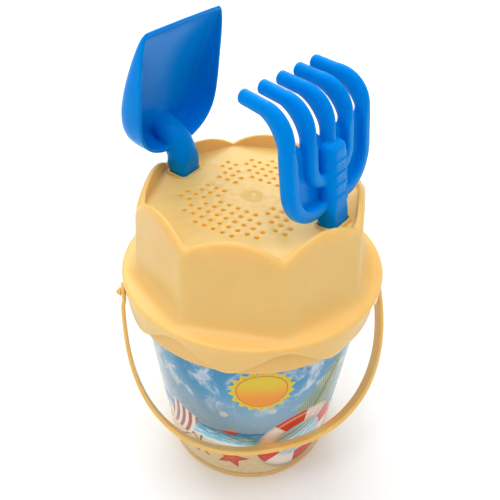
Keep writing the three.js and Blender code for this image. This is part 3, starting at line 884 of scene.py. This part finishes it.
def crest_rings(add):
    """The crest's inner face with a fillet at its foot, a crisp inner edge and a well rounded outer one."""
    inside = TOWER_TOP_CORNER - CREST_WIDTH
    inward, down = CREST_OUTER_EDGE
    quarter = math.pi / 2

    def step_up(angle):
        return crest_height(angle) - SIEVE_TOP

    for t in shares(6, quarter):
        add(lambda a, t=t: octagon(inside - CREST_FILLET, a, CREST_ROUND) + CREST_FILLET * math.sin(t),
            lambda a, t=t: SIEVE_TOP + min(CREST_FILLET, 0.5 * step_up(a)) * (1 - math.cos(t)))
    for t in shares(6, quarter):
        add(lambda a, t=t: octagon(inside, a, CREST_ROUND) + CREST_INNER_EDGE * (1 - math.cos(t)),
            lambda a, t=t: crest_height(a) - min(CREST_INNER_EDGE, 0.4 * step_up(a)) * (1 - math.sin(t)))
    for t in shares(12, quarter):
        add(lambda a, t=t: octagon(TOWER_TOP_CORNER - inward * (1 - math.sin(t)), a,
                                   blend(CREST_ROUND, TOWER_ROUND, math.sin(t))),
            lambda a, t=t: crest_height(a) - down * (1 - math.cos(t)))


def outer_rings(add):
    """Down the tower's wall, out over the flange and round the skirt's wavy edge."""
    for z in TOWER_RINGS:
        add(lambda a, z=z: octagon(tower(z), a, TOWER_ROUND), lambda a, z=z: z)
    # a quadratic curve from the wall to the flange, its middle control point just above its end
    start, end = FLANGE_FILLET
    reach, limit = 8, 86.3
    for s in shares(9, 1):
        add(lambda a, s=s: ((1 - s) ** 2 * octagon(tower(start), a, TOWER_ROUND)
                            + 2 * s * (1 - s) * octagon(tower(end + 0.8), a, TOWER_ROUND)
                            + s * s * min(octagon(tower(end), a, TOWER_ROUND) + reach, limit)),
            lambda a, s=s: (1 - s) ** 2 * start + 2 * s * (1 - s) * (end + 0.9) + s * s * end)
    outside = SKIRT_RADIUS - MOULD_INSET
    for t in shares(6, math.pi / 2):
        add(lambda a, t=t: outside - FLANGE_SHOULDER * (1 - math.sin(t)),
            lambda a, t=t: FLANGE_TOP - FLANGE_SHOULDER * (1 - math.cos(t)))
    shoulder_end = FLANGE_TOP - FLANGE_SHOULDER
    for s in (0.15, 0.4, 0.7, 0.93):
        add(lambda a, s=s: outside - SKIRT_TAPER * s,
            lambda a, s=s: blend(shoulder_end, skirt_edge(a) + SKIRT_EDGE, s))
    edge_out, edge_in = outside - SKIRT_TAPER, SKIRT_INNER - 0.3
    for t in shares(6, math.pi):
        add(lambda a, t=t: (edge_out + edge_in) / 2 + (edge_out - edge_in) / 2 * math.cos(t),
            lambda a, t=t: skirt_edge(a) + SKIRT_EDGE * (1 - math.sin(t)))


def inner_rings(add):
    """Up inside the skirt, in over the bucket's rim, and up the tower to the sieve's underside."""
    rest = RIM_TOP + GAP
    corner = 0.8
    add(lambda a: SKIRT_INNER, lambda a: rest - corner)
    add(lambda a: SKIRT_INNER - corner, lambda a: rest)
    for z, wider in ((rest, 1.0), (rest + corner, 0), (185, 0), (200, 0), (CEILING - 2, 0), (CEILING, -1.5)):
        add(lambda a, z=z, wider=wider: octagon(tower(z) - MOULD_WALL, a, INSIDE_ROUND) + wider,
            lambda a, z=z: z)


def tool_place(stand):
    """A tool's own frame: X across the tool, Y outward, Z up the shank from the sieve's face."""
    angle, twist = stand
    spot = (SOCKET_CENTRE * math.cos(angle * DEG), SOCKET_CENTRE * math.sin(angle * DEG), SIEVE_TOP)
    return (Matrix.Translation(spot) @ Matrix.Rotation((angle + twist - 90) * DEG, 4, "Z")
            @ Matrix.Rotation(TOOL_LEAN * DEG, 4, "X"))


def sieve_holes():
    """A diagonal grid, with a plain cross on the axes and plain ground round the sockets. The innermost few
    are only marks."""
    holes, marks = [], []
    steps = math.ceil(HOLE_FIELD[1] / HOLE_PITCH)
    for column in range(steps):
        for row in range(steps):
            x, y = HOLE_FIRST + HOLE_PITCH * column, HOLE_FIRST + HOLE_PITCH * row
            radius = math.hypot(x, y)
            if (column + row) % 2 or not GATE_RADIUS + HOLE_RADIUS < radius <= HOLE_FIELD[1]:
                continue
            along, across = (x + y) / math.sqrt(2), abs(x - y) / math.sqrt(2)
            by_socket = across < SOCKET_AISLE or (along > SOCKET_CLEAR[0] and across < SOCKET_CLEAR[1])
            for sx, sy in ((1, 1), (-1, 1), (-1, -1), (1, -1)):
                if sx * sy > 0 or not by_socket:
                    (marks if radius < HOLE_FIELD[0] else holes).append((sx * x, sy * y))
    return holes, marks


def rounded_rectangle(width, depth, corner):
    ring, steps = [], 5
    for sx, sy, start in ((1, 1, 0), (-1, 1, 90), (-1, -1, 180), (1, -1, 270)):
        for k in range(steps + 1):
            angle = (start + 90 * k / steps) * DEG
            ring.append((sx * (width / 2 - corner) + corner * math.cos(angle),
                         sy * (depth / 2 - corner) + corner * math.sin(angle)))
    return ring


def plate_faces(loops):
    """Triangles between a flat convex outline, the first loop, and its convex openings, the others. A
    triangle with all its corners on one opening lies inside it."""
    points, edges, owner = [], [], []
    for number, loop in enumerate(loops):
        start = len(points)
        points += [Vector(p[:2]) for p in loop]
        edges += [(start + i, start + (i + 1) % len(loop)) for i in range(len(loop))]
        owner += [number] * len(loop)
    inside_edges, tolerance = 1, 1e-6
    _, _, faces, originals, *_ = geometry.delaunay_2d_cdt(points, edges, [], inside_edges, tolerance)
    faces = [[originals[i][0] for i in face] for face in faces]
    return [face for face in faces if owner[face[0]] == 0 or len({owner[i] for i in face}) > 1]


def circles(x, y, profile, steps):
    """Level circles round (x, y), one for each (radius, height) of a profile."""
    turns = [2 * math.pi * k / steps for k in range(steps)]
    return [[(x + r * math.cos(t), y + r * math.sin(t), z) for t in turns] for r, z in profile]


class Skin:
    """The points and faces of a closed surface, built from loops of points."""

    def __init__(self):
        self.points, self.faces = [], []

    def wall(self, loops):
        """Joins successive loops with quads. Returns the first and the last loop as indices."""
        steps = len(loops[0])
        start = len(self.points)
        for loop in loops:
            self.points += loop
        self.faces += grid_faces(len(loops), steps, start)
        end = len(self.points)
        return range(start, start + steps), range(end - steps, end)

    def plate(self, *loops):
        """Fills a flat outline, the first loop of indices, round its openings, the others."""
        index = [i for loop in loops for i in loop]
        filled = plate_faces([[self.points[i] for i in loop] for loop in loops])
        self.faces += [tuple(index[i] for i in face) for face in filled]


def hole_loops(x, y):
    sides = [(HOLE_RADIUS + HOLE_BEVEL, 0), (HOLE_RADIUS + 0.3 * HOLE_BEVEL, 0.3 * HOLE_BEVEL),
             (HOLE_RADIUS, HOLE_BEVEL), (HOLE_RADIUS, SIEVE_TOP - CEILING)]
    return circles(x, y, [(r, SIEVE_TOP - depth) for r, depth in sides], HOLE_SIDES)


def mark_loops(x, y):
    """A hole's place that stayed closed: a shallow dimple."""
    return circles(x, y, [(1.2, SIEVE_TOP), (0.8, SIEVE_TOP - 0.12), (0.1, SIEVE_TOP - 0.15)], HOLE_SIDES)


def gate_loops():
    """Where the plastic entered the mould: a sunk ring with a small rise in the middle."""
    profile = [(GATE_RADIUS, 0), (6.2, -0.25), (5.7, -0.25), (5.4, 0.05), (2.0, 0.08), (1.6, 0.35),
               (1.2, 0.45), (0.2, 0.4)]
    return circles(0, 0, [(r, SIEVE_TOP + rise) for r, rise in profile], GATE_SIDES)


def socket_loops(stand):
    """A socket's lip and its wall down to the sieve's underside. The loops on the sieve's own level are slid
    along the shank to it."""
    place = tool_place(stand)
    up = (place.to_3x3() @ Vector((0, 0, 1))).normalized()
    grow = LIP_WIDTH + SOCKET_CLEARANCE
    inner = rounded_rectangle(SHANK[0] + 2 * SOCKET_CLEARANCE, SHANK[1] + 2 * SOCKET_CLEARANCE, SHANK_CORNER)
    outer = rounded_rectangle(SHANK[0] + 2 * grow, SHANK[1] + 2 * grow, SHANK_CORNER + 1)

    def between(share):
        return [((1 - share) * a[0] + share * b[0], (1 - share) * a[1] + share * b[1])
                for a, b in zip(outer, inner)]

    def level(share, z):
        spots = [place @ Vector((x, y, 0)) for x, y in between(share)]
        return [tuple(spot + up * ((z - spot.z) / up.z)) for spot in spots]

    def square(share, drop):
        return [tuple(place @ Vector((x, y, LIP_HEIGHT - drop))) for x, y in between(share)]

    lip = ((0, 0.9), (0.06, 0.45), (0.2, 0.12), (0.4, 0), (0.65, 0), (0.9, 0.2), (1, 0.6))
    return [level(-0.18, SIEVE_TOP), level(-0.06, SIEVE_TOP + 0.1), level(0, SIEVE_TOP + 0.4),
            *[square(share, drop) for share, drop in lip], level(1, CEILING)]


def mould():
    """The mould's skin runs from the sieve's edge over the crest, down the outside and back up the inside."""
    rings = []
    for part in (crest_rings, outer_rings, inner_rings):
        part(lambda radius, height: rings.append((radius, height)))
    turns = [2 * math.pi * k / RING_STEPS for k in range(RING_STEPS)]
    loops = [[(r(a) * math.cos(a), r(a) * math.sin(a), z(a)) for a in turns] for r, z in rings]
    skin = Skin()
    top, under = skin.wall(loops)

    holes, marks = sieve_holes()
    through = [skin.wall(hole_loops(x, y)) for x, y in holes]
    closed = [skin.wall(mark_loops(x, y)) for x, y in marks] + [skin.wall(gate_loops())]
    sockets = [skin.wall(socket_loops(stand)) for stand in (SHOVEL_STAND, RAKE_STAND)]
    skin.faces += [tuple(last) for _, last in closed]
    skin.plate(top, *[first for first, _ in (*through, *closed, *sockets)])
    skin.plate(under, *[last for _, last in (*through, *sockets)])
    make_consistent(new_piece("mould_shell", skin.points, skin.faces, "mould", "mould_plastic", CREAM_MOULD_PAINTED_GLOW,
                              "castle_mould"))


def make_consistent(piece):
    """Turns all of a closed mesh's faces outward."""
    bm = bmesh.new()
    bm.from_mesh(piece.data)
    bmesh.ops.remove_doubles(bm, verts=bm.verts, dist=1e-7)
    bmesh.ops.recalc_face_normals(bm, faces=bm.faces)
    if bm.calc_volume(signed=True) < 0:
        bmesh.ops.reverse_faces(bm, faces=bm.faces)
    bm.to_mesh(piece.data)
    bm.free()
    piece.data.shade_smooth()


# ---------- tools ----------

def shank_field(p):
    """The shank below the sieve tapers a little and has rounded ends."""
    x, y, z = p.T
    taper = np.clip((TAPER_START - z) / TAPER_LENGTH, 0, 1)
    half_x, half_y = [size / 2 - less * taper for size, less in zip(SHANK, SHANK_TAPER)]
    side = rectangle_field(x, y, half_x, half_y, SHANK_CORNER)
    return round_max(side, -SHANK_DEPTH - z, 2)


# Shovel
RIM_PLANE = 5.8  # the blade's open face, outward of the shank's axis
BLADE_THICKNESS = 2.2
BLADE_DEPTH = 17.3
BLADE_DEEPEST = 45
BLADE_TOP = 102.5
BLADE_FALL = 1.6
BLADE_SWEEP = 10
WALL_POWER = 3.5  # 2 would curve the wall as an ellipse
BLADE_OUTLINE = [
    (0, 17.5), (13, 18.3), (21, 20.6), (28.5, 24.6), (34.8, 31), (38.4, 39.5), (39.8, 52), (39.6, 74),
    (38.9, 89), (37.6, 97), (35, BLADE_TOP - 1.2), (30, BLADE_TOP - 0.3), (0, BLADE_TOP),
]
NECK_PATH = [
    (0, -6), (0, 2), (1.2, 6), (2.4, 11), (4.6, 16), (8.6, 21.5), (14.5, 25.5), (21, 28.5), (23, 29.4),
]
NECK_SWELL = (1.7, 2.1)
NECK_POWER = (5, 2.2)  # from the shank's squarish section to a nearly round one


def smooth_line(knots, per_knot=4):
    """A Catmull-Rom line through the knots."""
    k = np.array(knots, float)
    ends = np.vstack([2 * k[0] - k[1], k, 2 * k[-1] - k[-2]])
    out = []
    for i in range(1, len(ends) - 2):
        a, b, c, d = ends[i - 1:i + 3]
        for s in np.arange(per_knot) / per_knot:
            out.append(0.5 * (2 * b + (c - a) * s + (2 * a - 5 * b + 4 * c - d) * s * s
                              + (3 * b - a - 3 * c + d) * s ** 3))
    out.append(k[-1])
    return np.array(out)


BLADE_LINE = smooth_line(BLADE_OUTLINE)
NECK_LINE = smooth_line(NECK_PATH)


def scoop_depth(z):
    along = np.clip((z - BLADE_DEEPEST) / (BLADE_TOP - BLADE_DEEPEST), 0, 1)
    return BLADE_DEPTH * (1 - along ** BLADE_FALL)


def bowl_field(inset, depth, sweep, deepest):
    """Below zero inside a bowl whose sides curve over a width of sweep into a floor at deepest."""
    power = WALL_POWER
    deepest = np.maximum(deepest, 0.3)
    side = np.maximum(sweep - inset, 0) / sweep
    down = np.maximum(depth, 0) / deepest
    reach = (side ** power + down ** power) ** (1 / power)
    slope_side = (side / np.maximum(reach, 1e-6)) ** (power - 1) / sweep
    slope_down = (down / np.maximum(reach, 1e-6)) ** (power - 1) / deepest
    return (reach - 1) / np.maximum(np.hypot(slope_side, slope_down), 1e-3)


def blade_field(p):
    x, y, z = p.T
    gap, _, side = polyline_field(np.abs(x), z, BLADE_LINE)
    inset = gap * side
    depth = y - RIM_PLANE
    hollow = scoop_depth(z)
    outer = bowl_field(inset, depth, BLADE_SWEEP, hollow + BLADE_THICKNESS)
    inner = bowl_field(inset - BLADE_THICKNESS, depth, BLADE_SWEEP - BLADE_THICKNESS, hollow)
    shell = round_max(np.maximum(outer, -inset), -inner, 0.6)
    return round_max(shell, -depth, 0.7)


def neck_field(p):
    x, y, z = p.T
    gap, share, side = polyline_field(y, z, NECK_LINE)
    normal = gap * side
    power = blend(*NECK_POWER, np.clip((share - 0.2) / 0.25, 0, 1))
    swell = np.sin(np.clip((share - 0.18) / 0.82, 0, 1) ** 0.7 * math.pi)
    half_x = SHANK[0] / 2 + NECK_SWELL[0] * swell
    half_n = SHANK[1] / 2 + NECK_SWELL[1] * swell
    reach = (np.abs(x / half_x) ** power + np.abs(normal / half_n) ** power) ** (1 / power)
    return (reach - 1) * 6.2


def shovel_field(p):
    handle = round_max(shank_field(p), p[:, 2] - 5, 0.5)
    body = np.minimum(handle, round_max(neck_field(p), -p[:, 2], 0.5))
    return round_min(body, blade_field(p), 1.8)


def shovel():
    points, quads = field_surface(shovel_field, (-43, -12, -98), (43, 28, 106), TOOL_GRID)
    place = tool_place(SHOVEL_STAND)
    new_piece("shovel_body", placed(place, points), quads, "shovel", "tool_plastic", BLUE, "shovel")


# Rake
TINE_RADIUS = 4
TINE_DEPTH = 4.7
TINE_SWELL = 1.4
TINE_PLANE = -2.7
TINE_SPACING = 19.7
TIP_SPACING = 17.1
TINE_STRAIGHT = 59.4
TINE_BEND = 22.3
TINE_TURN = 74 * DEG
TINE_END = 15.8
WEB_THICKNESS = 3.2
WEB_LOW = 52
WEB_RISE = 8
OUTER_BAR = 14.8
INNER_BAR = 32
OUTER_CORNER = 22
INNER_CORNER = 12
GRIP_TOP = 53
GRIP_RIBS = (42, 34.7, 27.7, 20.2)  # heights
RIB_X, RIB_LENGTH, RIB_RISE = -0.9, 12.8, 0.9
SPINE_X, SPINE_Z, SPINE_LENGTH = -7.3, 30.5, 31


def tine_field(p, place):
    """A tine's upper part, from the top of its straight length round the bend to its tip."""
    x, y, z = p.T
    centre_y = TINE_PLANE - TINE_BEND
    angle = np.clip(np.arctan2(z - TINE_STRAIGHT, y - centre_y), 0, TINE_TURN)
    angle = np.where((z < TINE_STRAIGHT) & (y > centre_y), 0, angle)
    near_y = centre_y + TINE_BEND * np.cos(angle)
    near_z = TINE_STRAIGHT + TINE_BEND * np.sin(angle)
    end_y = centre_y + TINE_BEND * math.cos(TINE_TURN)
    end_z = TINE_STRAIGHT + TINE_BEND * math.sin(TINE_TURN)
    dir_y, dir_z = -math.sin(TINE_TURN), math.cos(TINE_TURN)
    along = np.where(angle >= TINE_TURN - 1e-6, (y - end_y) * dir_y + (z - end_z) * dir_z, 0)
    along = np.maximum(along, 0)
    straight = np.minimum(z - TINE_STRAIGHT, 0) * (angle <= 0)
    run = angle / TINE_TURN * 0.8 + 0.2 * np.clip(along / TINE_END, 0, 1)
    centre_x = place * (TINE_SPACING + (TIP_SPACING - TINE_SPACING) * run)
    near_y, near_z = near_y + along * dir_y, near_z + along * dir_z + straight
    depth = TINE_DEPTH + TINE_SWELL * np.sin(np.clip(run * 1.25, 0, 1) * math.pi) - 0.4 * run
    reach = np.hypot((x - centre_x) / TINE_RADIUS, np.hypot(y - near_y, z - near_z) / depth)
    rod = (reach - 1) * TINE_RADIUS
    return round_max(rod, along - TINE_END, 2.2)


def cradle_field(x, z, half, bottom, corner):
    """In the head's plane, below zero inside a U-shaped outline that is open at the top."""
    return round_max(np.abs(x) - half, bottom - z, corner)


def web_field(x, y, z):
    """The plate between the tines. Each gap's top edge is half an ellipse."""
    half = TINE_SPACING / 2 - TINE_RADIUS
    off = np.abs((x % TINE_SPACING) - TINE_SPACING / 2)
    share = np.clip(off / half, 0, 0.97)
    rise = np.sqrt(1 - share * share)
    edge = (z - WEB_LOW - WEB_RISE * rise) / np.hypot(1, WEB_RISE / half * share / rise)
    outline = np.maximum(cradle_field(x, z, 2 * TINE_SPACING, OUTER_BAR, OUTER_CORNER), edge)
    middle = TINE_PLANE - TINE_DEPTH + WEB_THICKNESS / 2
    return round_max(outline, np.abs(y - middle) - WEB_THICKNESS / 2, 0.9)


def grip_field(p):
    """The grip above the sieve, its corners growing rounder upward, with ribs standing on its outer face."""
    x, y, z = p.T
    corner = SHANK_CORNER + 3 * smooth_share(np.clip((z - 6) / 18, 0, 1))
    side = rectangle_field(x, y, SHANK[0] / 2, SHANK[1] / 2, corner)
    grip = round_max(round_max(side, z - GRIP_TOP, 5), -z - 2, 0.5)
    body = np.minimum(grip, round_max(shank_field(p), z, 0.5))
    ribs = rectangle_field(x - SPINE_X, z - SPINE_Z, 0.5, SPINE_LENGTH / 2, 0.3)
    for rib in GRIP_RIBS:
        ribs = np.minimum(ribs, rectangle_field(x - RIB_X, z - rib, RIB_LENGTH / 2, 0.6, 0.3))
    ribs = np.maximum(ribs, -y)
    return round_min(body, round_max(ribs, np.abs(side) - RIB_RISE, 0.4), 0.25)


def cradle_rod(p, place, bar, bend):
    """A pair of tines' lower part, joined in a U. It is squarish, and round at the tines' tops."""
    x, y, z = p.T
    squareness = smooth_share(np.clip((TINE_STRAIGHT + 2 - z) / 8, 0, 1))
    gap = cradle_field(x, z, place * TINE_SPACING, bar, bend)
    corner = TINE_RADIUS - squareness * np.where(gap < 0, 2.4, 0.4)
    rod = rectangle_field(gap, y - TINE_PLANE, TINE_RADIUS, TINE_DEPTH, corner)
    return np.maximum(rod, z - TINE_STRAIGHT - 0.5)


def rake_field(p):
    x, y, z = p.T
    fillet = 0.8
    body = round_min(grip_field(p), web_field(x, y, z), fillet)
    for place, bar, bend in ((2, OUTER_BAR, OUTER_CORNER), (1, INNER_BAR, INNER_CORNER)):
        body = round_min(body, cradle_rod(p, place, bar, bend), fillet)
    for place in (-2, -1, 1, 2):
        body = np.minimum(body, np.maximum(tine_field(p, place), TINE_STRAIGHT - 1 - z))
    return round_min(body, np.maximum(tine_field(p, 0), GRIP_TOP - 20 - z), fillet)


def rake():
    points, quads = field_surface(rake_field, (-46, -46, -98), (46, 10, 92), TOOL_GRID)
    place = tool_place(RAKE_STAND)
    new_piece("rake_body", placed(place, points), quads, "rake", "tool_plastic", BLUE, "rake")


# ---------- studio ----------

def camera():
    """The photograph's viewing angle: turned a little to the left, looking down, and rolled slightly."""
    azimuth, elevation, roll = -12.94 * DEG, 37.157 * DEG, 1.198 * DEG
    spot = (-0.0750, -0.31788, 0.42123)
    right = Vector((math.cos(azimuth), math.sin(azimuth), 0))
    back = Vector((math.sin(azimuth) * math.cos(elevation), -math.cos(azimuth) * math.cos(elevation),
                   math.sin(elevation)))
    up = back.cross(right)
    across = math.cos(roll) * right + math.sin(roll) * up
    upward = math.cos(roll) * up - math.sin(roll) * right
    data = bpy.data.cameras.new("camera")
    data.sensor_width = 36
    data.lens = 42.66
    data.clip_start, data.clip_end = 0.01, 50
    cam = add_object("camera", data)
    cam.matrix_world = Matrix.Translation(spot) @ Matrix((across, upward, back)).transposed().to_4x4()
    bpy.context.scene.camera = cam
    bpy.context.scene.view_settings.view_transform = "Standard"


def floor():
    size = 6.0
    mesh = bpy.data.meshes.new("floor")
    corners = [(-size, -size, 0), (size, -size, 0), (size, size, 0), (-size, size, 0)]
    mesh.from_pydata(corners, [], [(0, 1, 2, 3)])
    n = Nodes("pale_floor")
    n.link(n.mix(n.noise(3), (0.9, 0.9, 0.9), (0.93, 0.93, 0.93)), n.shader.inputs["Base Color"])
    n.shader.inputs["Roughness"].default_value = 0.9
    mesh.materials.append(n.material)
    plane = add_object("floor", mesh)
    plane.location.z = -0.0002


def area_light(name, spot, target, size, power):
    data = bpy.data.lights.new(name, "AREA")
    data.shape = "RECTANGLE"
    data.size, data.size_y = size
    data.energy = power
    light = add_object(name, data)
    light.location = spot
    light.rotation_mode = "QUATERNION"
    light.rotation_quaternion = (Vector(target) - Vector(spot)).to_track_quat("-Z", "Y")


def studio():
    """A white room with a wide soft light overhead, a large one behind and a small key light."""
    world = bpy.data.worlds.new("studio")
    bpy.context.scene.world = world
    world.use_nodes = True
    background = world.node_tree.nodes["Background"]
    background.inputs["Color"].default_value = (1, 1, 1, 1)
    background.inputs["Strength"].default_value = 0.38
    middle = (0, 0, 0.16)
    area_light("key", (-0.6, -0.4, 1.1), middle, (0.25, 0.25), 0.8)
    area_light("back", (-0.1, 1.1, 1.15), middle, (1.3, 0.8), 9)
    data = bpy.data.lights.new("overhead", "SUN")
    data.energy = 2.15
    data.angle = 70 * DEG
    add_object("overhead", data).rotation_euler = (3 * DEG, 0, 0)


camera()
floor()
studio()
bucket()
label()
strap()
mould()
shovel()
rake()
